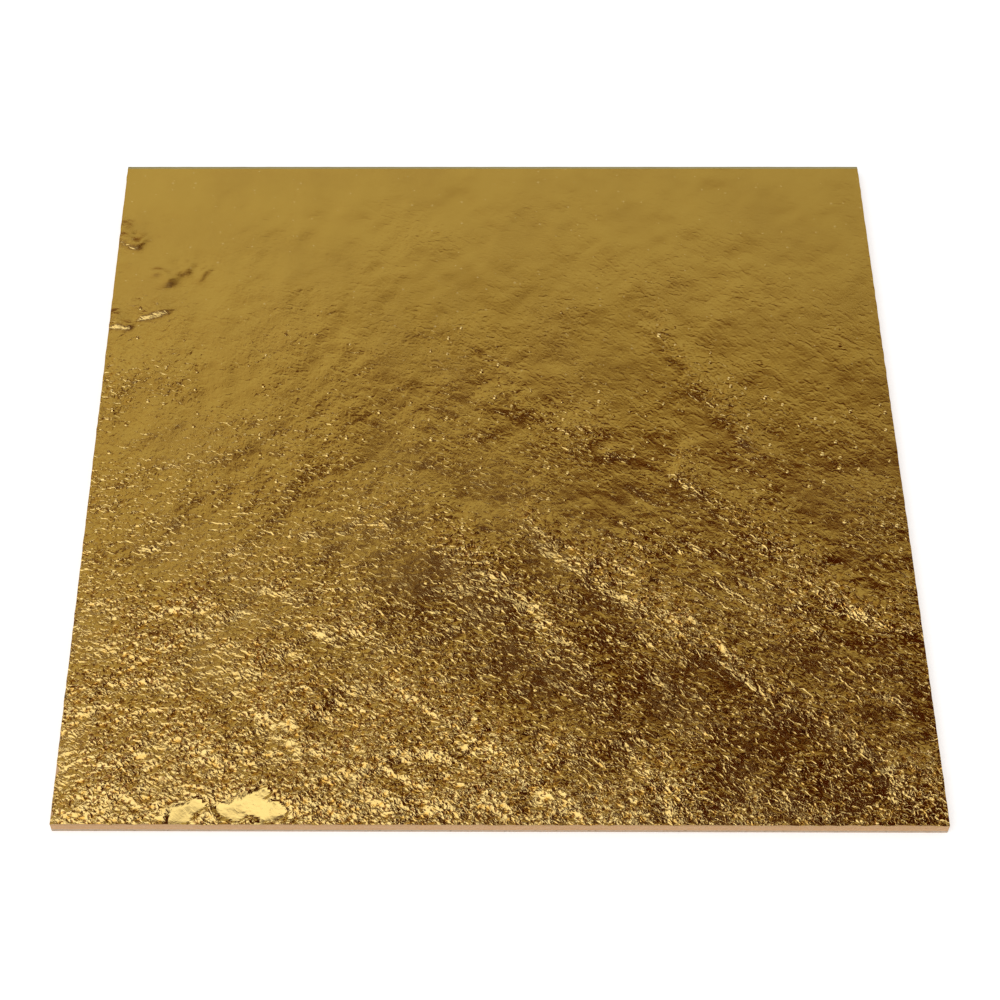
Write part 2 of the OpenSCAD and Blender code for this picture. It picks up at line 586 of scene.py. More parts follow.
# %% [markdown]
# Rouged tissue
#
# The finish is nearly matt, so a rough Principled shader with a little sheen for the nap is enough. A
# sheet shows two bumps: the felt of its fibres, and a slow cockle about a centimetre across, which is the
# crinkle group again at a large size. A velvet shader would give more nap, but tissue that is pressed in
# a book has hardly any.

# %% Rouged tissue finish
TISSUE_FIBRES = {"Length": 4.0, "Width": 0.45}
STRAND_RISE = 0.3
NAP_RISE = 0.03
COCKLE = {"Size": 9.0, "Stretch": 1.6, "Turn": 0.9}
COCKLE_RISE = 0.9


def tissue_material():
    material, tree, shader = new_material("rouged_tissue")
    shader.inputs["Roughness"].default_value = 0.85
    shader.inputs["Sheen Weight"].default_value = 0.08
    shader.inputs["Sheen Roughness"].default_value = 0.6
    place = sheet_place(tree)
    fibres = use(tree, fibre_group, {"Place": place, **TISSUE_FIBRES})
    colour = rubbed_tissue(tree, place, fibres["Strands"])
    tree.links.new(edge_of_stack(tree, colour), shader.inputs["Base Color"])
    felt = maths(tree, "MULTIPLY_ADD", fibres["Strands"], STRAND_RISE, fibres["Felt"])
    cockle = use(tree, crinkle_group, {"Place": place, **COCKLE})["Height"]
    tree.links.new(bump(tree, cockle, COCKLE_RISE, bump(tree, felt, NAP_RISE)), shader.inputs["Normal"])
    return material


tissue = tissue_material()
print("made", tissue.name)

# %% [markdown]
# Cover card
#
# The cover is plain grey-brown card, uncoated. Short pale fibres show in its faces, with darker flecks of
# pulp. The same fibre and rubbing groups serve, with shorter, narrower strands.

# %% Cover card finish
CARD_BROWN = (0.58, 0.43, 0.30, 1)
CARD_GREY = (0.535, 0.415, 0.305, 1)
CARD_FLECK = (0.22, 0.16, 0.11, 1)
CARD_STRAND = (0.70, 0.60, 0.48, 1)
CARD_FIBRES = {"Length": 1.6, "Width": 0.35}
CARD_CLOUD = {"Stroke": 20.0, "Fleck": 0.3}
CARD_STRANDS_SHOWN, CARD_FLECKS_SHOWN = 0.5, 0.75
TOOTH_RISE = 0.06


def card_material():
    material, tree, shader = new_material("cover_card")
    shader.inputs["Roughness"].default_value = 0.8
    place = sheet_place(tree)
    fibres = use(tree, fibre_group, {"Place": place, **CARD_FIBRES})
    rub = use(tree, rubbing_group, {"Place": place, **CARD_CLOUD})
    colour = blend_colours(tree, rub["Cloud"], CARD_BROWN, CARD_GREY)
    strands = maths(tree, "MULTIPLY", fibres["Strands"], CARD_STRANDS_SHOWN)
    colour = blend_colours(tree, strands, colour, CARD_STRAND)
    flecks = maths(tree, "MULTIPLY", rub["Flecks"], CARD_FLECKS_SHOWN)
    tree.links.new(blend_colours(tree, flecks, colour, CARD_FLECK), shader.inputs["Base Color"])
    tree.links.new(bump(tree, fibres["Felt"], TOOTH_RISE), shader.inputs["Normal"])
    return material


card = card_material()
print("made", card.name)

# %% [markdown]
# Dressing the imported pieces
#
# The pages, the flat leaves between them, the guard tissue and the cover panels already have the right
# shape. They could be modelled again with more points, but flat sheets gain nothing by it, so each keeps
# its solid and only takes a finish.

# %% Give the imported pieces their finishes
FINISHES = {"tissue_page": tissue, "guard_tissue": tissue, "gold_leaf": page_gold, "spine_glue": glue,
            "back_cover": card, "front_cover": card, "cover_spine": card}


def dress(piece, material):
    piece.data.materials.clear()
    piece.data.materials.append(material)


for name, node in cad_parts.items():
    finish = next(material for start, material in FINISHES.items() if name.startswith(start))
    dress(node, finish)
print("dressed", len(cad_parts), "packed pieces")

# %% [markdown]
# Creases for the mesh
#
# The leaf on top is the piece that the eye rests on, so its creases down to about half a millimetre are
# real geometry. Sculpting them by hand would take days, and cloth simulation gives folds that are far too
# soft for metal. What works is noise that has been filtered to one wavelength: white noise is taken to
# its frequencies, only a ring of them is kept, and the ring is squeezed so that the creases run one way.
# Folding that noise at its middle, as in the shader group, sharpens it. A tile of it is 102.4 mm wide, a
# little more than the leaf, so it never repeats.

# %% Noise of one wavelength
TILE_POINTS = 1024
TILE_STEP = 0.1
BAND = 0.33
CREASE_ROUNDING = 0.18
LOWEST_RING = 1e-6


def crumple(seed, wavelength, stretch=1.0, turn=0.0, sharp=0.5):
    """A tile of creases with a standard deviation near 1. They run along turn, in degrees from +X."""
    white = np.random.default_rng(seed).standard_normal((TILE_POINTS, TILE_POINTS))
    cycles = np.fft.fftfreq(TILE_POINTS, TILE_STEP)
    fy, fx = np.meshgrid(cycles, cycles, indexing="ij")
    c, s = math.cos(math.radians(turn)), math.sin(math.radians(turn))
    ring = np.hypot((fx * c + fy * s) * stretch, fy * c - fx * s) * wavelength
    kept = np.exp(-0.5 * (np.log(np.maximum(ring, LOWEST_RING)) / BAND) ** 2)
    smooth = np.fft.ifft2(np.fft.fft2(white) * kept).real
    smooth /= smooth.std()
    folded = -np.sqrt(smooth**2 + CREASE_ROUNDING**2)
    folded = (folded - folded.mean()) / folded.std()
    return (1 - sharp) * smooth + sharp * folded


def look_up(tile, x, y):
    """The tile's value at places in millimetres, blended from its four nearest points."""
    u, v = x / TILE_STEP + TILE_POINTS / 2, y / TILE_STEP + TILE_POINTS / 2
    i, j = np.floor(u).astype(int), np.floor(v).astype(int)
    du, dv = u - i, v - j
    i0, i1, j0, j1 = i % TILE_POINTS, (i + 1) % TILE_POINTS, j % TILE_POINTS, (j + 1) % TILE_POINTS
    near = tile[j0, i0] * (1 - du) + tile[j0, i1] * du
    far = tile[j1, i0] * (1 - du) + tile[j1, i1] * du
    return near * (1 - dv) + far * dv


print("a tile is", TILE_POINTS * TILE_STEP, "mm wide")

# %% [markdown]
# The rows of the grid
#
# The mesh is one grid. The leaf is creased most towards the fore-edge, so the rows are closest there and
# widen towards the spine. An even grid would be simpler, but as fine as this one is at the front it would
# pass 200,000 triangles, above which a mesh is thinned out when it is exported.

# %% Lay out the rows
ROW_STEP_NEAR, ROW_STEP_FAR = 0.19, 0.42
FINE_ROWS_TO, COARSE_ROWS_FROM = -8.0, 22.0
RIM = 0.012


def row_places():
    """Rows from the fore-edge to the spine, close together first, with one more just inside each end."""
    places = [page_low.y]
    while places[-1] < leaf_high.y:
        share = np.interp(places[-1], (FINE_ROWS_TO, COARSE_ROWS_FROM), (0, 1))
        places.append(places[-1] + ROW_STEP_NEAR + share * (ROW_STEP_FAR - ROW_STEP_NEAR))
    stretch = (leaf_high.y - page_low.y) / (places[-1] - places[0])
    places = page_low.y + (np.array(places) - places[0]) * stretch
    return np.concatenate([places[:1], [places[0] + RIM], places[1:-1], [places[-1] - RIM], places[-1:]])


rows = row_places()
print(len(rows), "rows")

# %% [markdown]
# The ragged outline
#
# A leaf is cut by hand and tears a little where it is picked up, so the grid is drawn out to the edge of
# the page with a hair of raggedness, and three shallow notches open on its left side. Cutting the outline
# out of a larger sheet would leave slivers. Moving the ends of each row, and the first and last few rows,
# keeps every face of the grid four-sided.

# %% Lay out the grid
COLUMNS = 306
RAGGED = 0.012
OVERHANG = 0.02
SIDE_REACH = 0.01
END_FADE = 400
EDGE_TRACK = 40.0
NOTCHES = [(-34.9, 0.9, 0.28), (-39.3, 0.5, 0.22), (-12.5, 0.5, 0.10)]


def side_edges(edge):
    """X of the left and the right end of each row. A notch is its place, length and depth."""
    left = page_low.x - SIDE_REACH + RAGGED * look_up(edge, np.full(len(rows), -EDGE_TRACK), rows)
    right = page_high.x + SIDE_REACH - RAGGED * look_up(edge, np.full(len(rows), EDGE_TRACK), rows)
    for place, length, depth in NOTCHES:
        left += depth * np.exp(-((2 * (rows - place) / length) ** 2))
    return left, right


def leaf_grid():
    """X and Y of every grid point, in millimetres, rows by columns."""
    rim = RIM / (page_high.x - page_low.x)
    across = np.concatenate([[0, rim], np.linspace(0, 1, COLUMNS - 1)[1:-1], [1 - rim, 1]])
    edge = crumple(11, 2.2, sharp=0.0)
    left, right = side_edges(edge)
    x = left[:, None] * (1 - across) + right[:, None] * across
    y = np.repeat(rows[:, None], COLUMNS + 1, axis=1)
    columns = page_low.x + across * (page_high.x - page_low.x)
    front = -OVERHANG * look_up(edge, columns, np.full(COLUMNS + 1, -EDGE_TRACK))
    back = -RAGGED * np.abs(look_up(edge, columns, np.full(COLUMNS + 1, EDGE_TRACK)))
    depth = (y - page_low.y) / (leaf_high.y - page_low.y)
    y = y + front * np.exp(-depth * END_FADE) + back * np.exp(-(1 - depth) * END_FADE)
    return x, y


grid_x, grid_y = leaf_grid()
print("grid of", grid_x.shape[0], "rows by", grid_x.shape[1], "columns")

# %% [markdown]
# How strongly the leaf is creased, place by place
#
# The far side lies almost smooth on its page, and the leaf gets more and more crumpled towards the
# fore-edge, where fingers have lifted it. A curve over the depth of the page says that, and noise makes
# it patchy, so that no straight border shows. Some soft places about two centimetres across are quieter
# than the curve says, and one at the fore-edge, with a share below 0, is livelier. The left edge is
# creased further back than the rest. Painting a mask by hand would do the same with less control over
# where it fades.

# %% Strength of the creases
STRENGTH_AT = [(-40, 1.0), (-28, 1.0), (-18, 0.76), (-8, 0.44), (2, 0.31), (14, 0.18), (24, 0.1), (34, 0.05),
               (41, 0.04)]
QUIET_PLACES = [(-4, -15, 11, 7, 0.45), (9, -26, 11, 7, 0.65), (28, -30, 11, 8, 0.6), (12, -5, 8, 5, 0.35),
                (-1, -37.0, 11, 4.0, -0.45)]
CREASED_EDGE = (-41, 8, 4, 16, 0.25)
BROAD_PATCHES, SMALL_PATCHES, SMALL_PATCH_SHARE = 11.0, 4.2, 0.7
PATCHINESS, LEAST_PATCH, MOST_PATCH = 0.18, 0.6, 1.6
BORDER_WAVES, BORDER_SWAY = 16.0, 2.5


def soft_spot(x, y, radius_x, radius_y):
    """1 at 0 and 0, falling softly to nothing beyond the radii."""
    return np.exp(-((x / radius_x) ** 2) - (y / radius_y) ** 2)


def quiet(x, y):
    """How much of the creasing is missing. A place is its X and Y, its two radii and its share."""
    return sum(share * soft_spot(x - px, y - py, rx, ry) for px, py, rx, ry, share in QUIET_PLACES)


def strength(x, y):
    """From almost 0, smooth, to about 1, fully creased."""
    places, values = zip(*STRENGTH_AT)
    broad = look_up(crumple(23, BROAD_PATCHES, sharp=0.0), x, y)
    small = look_up(crumple(25, SMALL_PATCHES, sharp=0.0), x, y)
    patches = broad + SMALL_PATCH_SHARE * small
    px, py, rx, ry, more = CREASED_EDGE
    left_edge = more * soft_spot(x - px, y - py, rx, ry)
    wavy = y + BORDER_SWAY * look_up(crumple(29, BORDER_WAVES, sharp=0.0), x, y)
    here = np.interp(wavy, places, values) * (1 - quiet(x, y)) + left_edge
    return here * np.clip(1 + PATCHINESS * patches, LEAST_PATCH, MOST_PATCH)


crease_strength = strength(grid_x, grid_y)
print("creases run from", round(crease_strength.min(), 2), "to", round(crease_strength.max(), 2))

# %% [markdown]
# Which way the creases run
#
# On the left the creases run across the page in short blobs. In the middle and on the right they slant
# down towards the fore-edge, and at the right they get steep near it. Turning one pattern gradually would
# shear it, so there is a pattern for each of the three directions, and each point takes a share of them.

# %% Direction of the creases
SLANT_TILT, SLANT_FROM, SLANT_FULL = 0.35, -16, 6
STEEP_NEAR_FRONT = (24, 34)
STEEP_ON_RIGHT = (-4, 8)


def smooth_step(value, low, high):
    """From 0 at low to 1 at high, easing in and out."""
    t = np.clip((value - low) / (high - low), 0, 1)
    return t * t * (3 - 2 * t)


def direction_shares(x, y):
    """How much the creases run across the page, slant, or run steeply, at each point."""
    slant = smooth_step(x + SLANT_TILT * y, SLANT_FROM, SLANT_FULL)
    steep = slant * smooth_step(-y, *STEEP_NEAR_FRONT) * smooth_step(x, *STEEP_ON_RIGHT)
    return 1 - slant, slant - steep, steep


shares = direction_shares(grid_x, grid_y)
print("shares across, slanting and steep:", [round(float(share.mean()), 2) for share in shares])

# %% [markdown]
# Ridges placed one by one
#
# A few long ridges and small folds stand out on the leaf, and noise can't be told where to put them, so
# they are placed one by one. A ridge is a line of points with a rounded hill along it, longer behind the
# line than in front of it, so that its steep side faces the reader. Its height is broken up by noise
# along its way, because a real crease is a string of short facets. Most also crease the leaf more where
# they run.

# %% Ridges
# Height and width in millimetres, how much more the leaf is creased there, and the points
RIDGES = [
    (0.06, 1.3, 0.4, [(4, -8), (11, -14), (21, -22), (32, -31), (41, -38)]),
    (0.05, 1.1, 0.45, [(8.5, -10.5), (14, -14), (19.5, -19.5)]),
    (0.025, 1.2, 0.2, [(-5, -8), (2, -15), (9.5, -25), (18, -38)]),
    (0.02, 1.2, 0.25, [(17, 17), (21, 10), (26.5, 1)]),
    (0.08, 0.8, 0.4, [(30.5, -15), (34.5, -17.6), (38, -20)]),
    (0.04, 1.2, 0.35, [(19, -2), (26, -8), (32, -15)]),
    (0.085, 1.0, 0.3, [(-19, -31.5), (-12.6, -34), (-7, -33), (-2.6, -29.6), (5.5, -38)]),
    (0.06, 0.9, 0.3, [(-9, -26), (-1.7, -29), (6, -37)]),
    (0.02, 1.1, 0.25, [(2, 7.4), (6, 4.6), (10.5, 2)]),
    (0.14, 0.58, 0.0, [(-40.8, 29.9), (-39.2, 29.3), (-37.6, 28.6)]),
    (0.02, 0.50, 0.0, [(-40.2, 26.4), (-36.5, 24.6)]),
    (0.13, 0.52, 0.1, [(-40.2, 17.3), (-37.1, 18.4), (-35.0, 19.4)]),
    (0.105, 0.60, 0.0, [(-35.2, 24.0), (-31.0, 24.4)]),
]
RIDGE_LEAN = 2.8
LEAST_BROKEN, BROKEN_BY = 0.8, 0.4
RIDGE_WANDER = 0.5


def away_from(points, x, y):
    """Distance of each grid point from a line of points, in millimetres, shortened behind the line."""
    nearest = np.full(x.shape, np.inf)
    for (ax, ay), (bx, by) in zip(points, points[1:]):
        dx, dy = bx - ax, by - ay
        along = np.clip(((x - ax) * dx + (y - ay) * dy) / (dx * dx + dy * dy), 0, 1)
        away_x, away_y = x - ax - along * dx, y - ay - along * dy
        nearest = np.minimum(nearest, np.hypot(away_x, np.where(away_y > 0, away_y / RIDGE_LEAN, away_y)))
    return nearest


def ridges(x, y):
    """Their height in millimetres, and how much they add to the creasing."""
    broken = LEAST_BROKEN + BROKEN_BY * look_up(crumple(31, 2.4, sharp=0.3), x, y)
    wander = RIDGE_WANDER * look_up(crumple(37, 4.0, sharp=0.0), x, y)
    total, creasing = np.zeros(x.shape), np.zeros(x.shape)
    for height, width, more, points in RIDGES:
        hill = np.exp(-((away_from(points, x + wander, y - wander) / width) ** 2))
        total += height * hill
        creasing = np.maximum(creasing, hill * more)
    return total * np.clip(broken, 0, 2), creasing


ridge_height, ridge_creasing = ridges(grid_x, grid_y)
print(len(RIDGES), "ridges, up to", round(float(ridge_height.max()), 2), "mm high")

# %% [markdown]
# Smooth patches, swells and streaks
#
# Where the leaf sticks to its page it lies as a smooth patch with a wandering edge: two small ones at the
# fore-edge, and a broad one in the far left corner. Below the creases the whole leaf swells a little, and
# in two places it rises more, so that the middle of the place faces a reader more squarely and mirrors
# the dark overhead. Streaks are long parallel creases, in the two places where the leaf was dragged.

# %% Patches, swells and streaks
SMOOTH_PATCHES = [(-28.1, -39.4, 1.7, 1.5), (-21.9, -38.9, 3.2, 1.7), (-35, 36, 6, 4)]
PATCH_WANDER = 0.25
PATCH_KEEPS = 0.08
PATCH_EDGE = (0.8, 1.05)
TILTED_PLACES = [(0, -17, 10, 9, 0.04), (2, -36, 9, 4, 0.03)]
SWELLS = [(7.0, 0.011, crumple(53, 7.0, 1.5, 80, 0.0)), (2.6, 0.010, crumple(55, 2.6, 1.3, 60, 0.0))]
STREAKS = (2.3, 0.085, crumple(57, 2.3, 4.5, -38, 0.7))
STREAK_PLACES = [(22, -17, 20, 9, -38), (-6, -31, 14, 7, -25)]


def wave_height(slope, wavelength):
    """The height in millimetres of a wave that tilts the surface by slope, in radians."""
    return slope * wavelength / (2 * math.pi)


def smoothness(x, y):
    """1 where the creases stay, less inside a smooth patch, which is its X and Y and its two radii."""
    wander = PATCH_WANDER * look_up(crumple(41, 3.0, sharp=0.0), x, y)
    stays = np.ones(x.shape)
    for px, py, half_x, half_y in SMOOTH_PATCHES:
        inside = np.hypot((x - px) / half_x, (y - py) / half_y) + wander
        stays *= PATCH_KEEPS + (1 - PATCH_KEEPS) * smooth_step(inside, *PATCH_EDGE)
    return stays


def swells(x, y):
    """Broad soft rises in millimetres. A tilted place is its X and Y, its two radii and its slope."""
    total = np.zeros(x.shape)
    for wavelength, slope, tile in SWELLS:
        total += wave_height(slope, wavelength) * look_up(tile, x, y)
    for px, py, rx, ry, slope in TILTED_PLACES:
        total += slope * (y - py) * soft_spot(x - px, y - py, rx, ry)
    return total


def streaks(x, y):
    """Their height in millimetres. A place is its X and Y, its radii along and beside, and their turn."""
    wavelength, slope, tile = STREAKS
    share = np.zeros(x.shape)
    for px, py, along, beside, turn in STREAK_PLACES:
        c, s = math.cos(math.radians(turn)), math.sin(math.radians(turn))
        u, v = (x - px) * c + (y - py) * s, (y - py) * c - (x - px) * s
        share = np.maximum(share, soft_spot(u, v, along, beside))
    return share * wave_height(slope, wavelength) * look_up(tile, x, y)


creases_stay = smoothness(grid_x, grid_y)
swell_height = swells(grid_x, grid_y)
streak_height = streaks(grid_x, grid_y)
print("swells up to", round(float(swell_height.max()), 2), "mm, streaks in", len(STREAK_PLACES), "places")

# %% [markdown]
# The grain of the leaf
#
# Four sizes of crease add up, from eight millimetres down to under one. Each is set by how steeply it
# tilts the surface, since that is what throws the light about, and its height follows from slope and
# wavelength. Every size but the largest has a pattern for each of the three directions, and all lean a
# little, as the bumps do. The two small sizes also make the crest mask that the gold's colour needs.

# %% Add up the grain
LEAN = 0.06
GRAIN = [
    (8.0, 0.022, [crumple(51, 8.0, sharp=0.2)] * 3),
    (3.4, 0.045, [crumple(61, 3.4, 1.3, 8), crumple(62, 3.4, 2.0, -40), crumple(63, 3.4, 2.0, -55)]),
    (1.5, 0.070, [crumple(71, 1.5, 1.5, 6), crumple(72, 1.4, 2.2, -38), crumple(73, 1.4, 2.2, -60)]),
    (0.85, 0.170, [crumple(81, 0.85, 1.2, 10), crumple(82, 0.75, 1.8, -35), crumple(83, 0.75, 1.8, -62)]),
]
SMALL_BELOW = 2.0
STEEPEST = 0.18


def layer(tiles, wavelength, x, y):
    """One size of crease, with each direction in its own part of the leaf, leaning towards the fore-edge."""
    evenness = np.sqrt(sum(share**2 for share in shares))
    total = sum(share * look_up(tile, x, y) for tile, share in zip(tiles, shares))
    ahead = y + LEAN * wavelength * total / evenness
    return sum(share * look_up(tile, x, ahead) for tile, share in zip(tiles, shares)) / evenness


def grain(x, y):
    """Its height in millimetres and the mask of its small creases, both at full strength."""
    height, mask = np.zeros(x.shape), np.zeros(x.shape)
    for wavelength, slope, tiles in GRAIN:
        this = layer(tiles, wavelength, x, y)
        height += wave_height(slope, wavelength) * this
        if wavelength < SMALL_BELOW:
            mask += this * slope / STEEPEST
    return height, mask


grain_height, grain_mask = grain(grid_x, grid_y)
print("grain up to", round(float(grain_height.max()), 3), "mm at full strength")

# %% [markdown]
# The relief
#
# Now it all comes together: the grain at its strength, the ridges, the swells and the streaks. Along the
# outline the leaf sinks to its page. It is held up a little everywhere else, most of all a few
# millimetres in from the fore-edge, where it bellies up. Without that the deepest creases would be cut
# off flat at the page.

# %% Add up the relief
HELD_UP, HELD_UP_WHERE_CREASED = 0.02, 0.05
EDGE_START = -0.02
EDGE_ROLL, SIDE_ROLL, FRONT_ROLL = 1.4, 3.0, 4.0
FRONT_LIFT, FRONT_LIFT_ENDS = 0.10, 50
LOWEST = 0.001
CREST_MIDDLE, CREST_CONTRAST, CREST_LIMIT = 0.5, 0.30, 1.2


def held_up(x, y, creasing):
    """How high the leaf lies above its page, in millimetres, before its creases."""
    from_front = y - y[:1]
    to_edge = np.minimum.reduce([x - x[:, :1], x[:, -1:] - x, from_front, y[-1:] - y])
    raised = (HELD_UP + HELD_UP_WHERE_CREASED * creasing) * smooth_step(to_edge, EDGE_START, EDGE_ROLL)
    belly = smooth_step(from_front, 0, FRONT_ROLL)
    belly = belly * (1 - smooth_step(from_front, 2 * FRONT_ROLL, FRONT_LIFT_ENDS))
    return raised + FRONT_LIFT * belly * smooth_step(to_edge, EDGE_START, SIDE_ROLL)


leaf_creasing = (crease_strength + ridge_creasing) * creases_stay
dragged = streak_height * creases_stay * (1 - quiet(grid_x, grid_y))
creases = grain_height * leaf_creasing + ridge_height + swell_height + dragged
leaf_height = np.maximum(held_up(grid_x, grid_y, leaf_creasing) + creases, LOWEST)
leaf_crest = CREST_MIDDLE + CREST_CONTRAST * grain_mask * np.clip(leaf_creasing, 0, CREST_LIMIT)
leaf_crest = np.clip(leaf_crest, 0, 1)
print("relief up to", round(float(leaf_height.max()), 3), "mm, mean", round(float(leaf_height.mean()), 3))

# %% [markdown]
# The leaf on top
#
# The relief becomes the upper skin of a closed mesh. Its underside is one flat face on the page, which
# can't be seen from above, so nearly all the triangles go to the skin. A plane with a displace modifier
# would be quicker to make, but it has no underside and no thickness at its edge.

# %% Turn a grid into a closed mesh
def new_piece(name, points, faces):
    """A mesh object from points in metres."""
    mesh = bpy.data.meshes.new(name)
    mesh.from_pydata(points, [], faces)
    mesh.update()
    piece = bpy.data.objects.new(name, mesh)
    bpy.context.scene.collection.objects.link(piece)
    return piece


def closed_sheet(name, x, y, top, bottom):
    """A grid surface over a flat underside, closed round the edge. Lengths come in millimetres."""
    row_count, columns = x.shape
    number = np.arange(row_count * columns).reshape(row_count, columns)
    rim = np.concatenate([number[0, :-1], number[:-1, -1], number[-1, :0:-1], number[:0:-1, 0]])
    skin = np.stack([x, y, top], -1).reshape(-1, 3)
    under = skin[rim].copy()
    under[:, 2] = bottom
    below = row_count * columns + np.arange(len(rim))
    quads = np.stack([number[:-1, :-1], number[:-1, 1:], number[1:, 1:], number[1:, :-1]], -1).reshape(-1, 4)
    sides = np.stack([rim, below, np.roll(below, -1), np.roll(rim, -1)], -1)
    faces = quads.tolist() + sides.tolist() + [below[::-1].tolist()]
    piece = new_piece(name, (np.concatenate([skin, under]) * MM).tolist(), faces)
    smooth = [True] * len(quads) + [False] * (len(sides) + 1)
    piece.data.polygons.foreach_set("use_smooth", smooth)
    piece.data.update()
    return piece


top_leaf = closed_sheet("crinkled_leaf", grid_x, grid_y, page_top + leaf_thickness + leaf_height, page_top)
print("leaf mesh has", sum(len(face.vertices) - 2 for face in top_leaf.data.polygons), "triangles")

# %% [markdown]
# What the leaf carries, and how it moves
#
# The mesh carries three values for its material: the crest mask, the crease strength, and how deep the
# painted shade in its hollows is. The last is the crease strength with some added in the quiet places, so
# that the painted shade in their hollows stays as dark as that around them. The leaf rides on the body of
# the top leaf and stands for its flat solid.

# %% Dress the leaf and join it to its body
PAINTED_SHADE_WHERE_QUIET = 0.9
UNDERSIDE_VALUE = 0.5

# How deep the painted shade in the leaf's hollows is: the crease strength, with more in the quiet places
leaf_hollow_shade = leaf_creasing + PAINTED_SHADE_WHERE_QUIET * np.maximum(quiet(grid_x, grid_y), 0)
for name, values in (("crest", leaf_crest), ("creasing", leaf_creasing), ("hollows", leaf_hollow_shade)):
    under = np.full(len(top_leaf.data.vertices) - values.size, UNDERSIDE_VALUE)
    carried = top_leaf.data.attributes.new(name, "FLOAT", "POINT")
    carried.data.foreach_set("value", np.concatenate([values.ravel(), under]).astype(np.float32))
dress(top_leaf, top_gold)
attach(top_leaf, "top_leaf")
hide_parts("gold_leaf_01")
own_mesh(top_leaf)

# %% [markdown]
# A thread of glue
#
# Padding glue is brushed over the back of the whole stack, and each page keeps its own share of it when
# the book opens. One stiff bar would stand still while the pages turn, so each page carries a thread of
# its own, a little uneven along the back where the brush dragged. Together they stand for the film.

# %% Shape of a glue thread
GLUE_STEPS = 120
GLUE_ROUND = 0.012
GLUE_WAVE = 0.008


def glue_thread(name, low, high, wave):
    """A thread along X between two corners, in millimetres, rounded at the back."""
    points, faces = [], []
    for place, drag in zip(np.linspace(low.x, high.x, GLUE_STEPS + 1), wave):
        back = high.y - GLUE_WAVE * (1 + math.tanh(drag))
        middle = (low.z + high.z) / 2
        points += [(place, low.y, low.z), (place, back - GLUE_ROUND, low.z), (place, back, middle),
                   (place, back - GLUE_ROUND, high.z), (place, low.y, high.z)]
    for step in range(GLUE_STEPS):
        first = 5 * step
        faces += [(first + k, first + 5 + k, first + 5 + (k + 1) % 5, first + (k + 1) % 5) for k in range(5)]
    faces += [(0, 1, 2, 3, 4), tuple(5 * GLUE_STEPS + k for k in (4, 3, 2, 1, 0))]
    return new_piece(name, [tuple(c * MM for c in point) for point in points], faces)


print("a glue thread has", GLUE_STEPS, "steps")

# %% [markdown]
# The glue between the pages
#
# A thread fills the height from its own page to the one above, less a hair, so that no two threads share
# a face. Each rides on the body of its page.

# %% Make the glue threads
GLUE_GAP = 0.003
BRUSH_TRACK = 40
BRUSH_SHIFT = 0.15

glue_low, glue_high = (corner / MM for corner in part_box("spine_glue"))
page_names = sorted(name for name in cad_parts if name.startswith("tissue_page"))
brush = crumple(91, 3.0, sharp=0.0)
track = np.linspace(-BRUSH_TRACK, BRUSH_TRACK, GLUE_STEPS + 1)
for number, name in enumerate(page_names, start=1):
    low, high = (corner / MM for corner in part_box(name))
    above = glue_high.z if number == 1 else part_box(page_names[number - 2])[0].z / MM - GLUE_GAP
    wave = look_up(brush, track, np.full(GLUE_STEPS + 1, BRUSH_SHIFT * number))
    thread = glue_thread(f"glue_thread_{number:02d}", Vector((glue_low.x, glue_low.y, low.z)),
                         Vector((glue_high.x, glue_high.y, above)), wave)
    dress(thread, glue)
    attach(thread, f"page_{number:02d}")
    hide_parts("spine_glue")
    if number == 1:
        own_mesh(thread)
print("made", len(page_names), "glue threads")

# %% [markdown]
# The camera
#
# The booklet is seen from the fore-edge and well above it, close up through a moderate lens, so its far
# edge is clearly shorter than its near one. The place and the turns are those at which the four corners
# of the pages fall where they should. The lens is shifted a little sideways, because the picture was
# cropped off centre. Turning the camera instead would change how the book's two sides run together.

# %% Set the camera
CAMERA_PLACE = Vector((-3.56, -130.125, 179.06)) * MM
LOOKING_DOWN, TURNED, ROLLED = (math.radians(angle) for angle in (54.814, 0.623, -0.454))
SENSOR = 36.0
LENS = 79.405
SIDE_SHIFT = 0.0541
NEAREST, FURTHEST = 0.01, 20.0


def place_camera():
    data = bpy.data.cameras.new("camera")
    data.sensor_width, data.lens, data.shift_x = SENSOR, LENS, SIDE_SHIFT
    data.clip_start, data.clip_end = NEAREST, FURTHEST
    camera = bpy.data.objects.new("camera", data)
    bpy.context.scene.collection.objects.link(camera)
    turn = Matrix.Rotation(TURNED, 3, "Z")
    forward = turn @ Vector((0, math.cos(LOOKING_DOWN), -math.sin(LOOKING_DOWN)))
    right = turn @ Vector((1, 0, 0))
    up = right.cross(forward)
    c, s = math.cos(ROLLED), math.sin(ROLLED)
    right, up = c * right + s * up, c * up - s * right
    axes = Matrix((right, up, -forward)).transposed().to_4x4()
    camera.matrix_world = Matrix.Translation(CAMERA_PLACE) @ axes
    bpy.context.scene.camera = camera
    return camera


camera = place_camera()
print("camera at", [round(c, 4) for c in camera.location])

# %% [markdown]
# The floor
#
# The floor is plain and pale, and shows white where nothing shades it. More light on it would do that
# too, but it would wash out the book's own colours. So the floor has a little light of its own, only for
# rays that look at it from the camera or in a reflection, and it still takes the book's shadow.

# %% Make the floor
FLOOR_HALF = 3.0
FLOOR_PALE = (0.9, 0.9, 0.9, 1)
FLOOR_ROUGHNESS = 0.9
FLOOR_GLOW = 0.33


def flat_card(name, half, height, facing):
    """A square card on the stage. facing is 1 for a face that looks up and -1 for one that looks down."""
    corners = [(-half, -half * facing, height), (half, -half * facing, height),
               (half, half * facing, height), (-half, half * facing, height)]
    piece = new_piece(name, corners, [(0, 1, 2, 3)])
    return piece


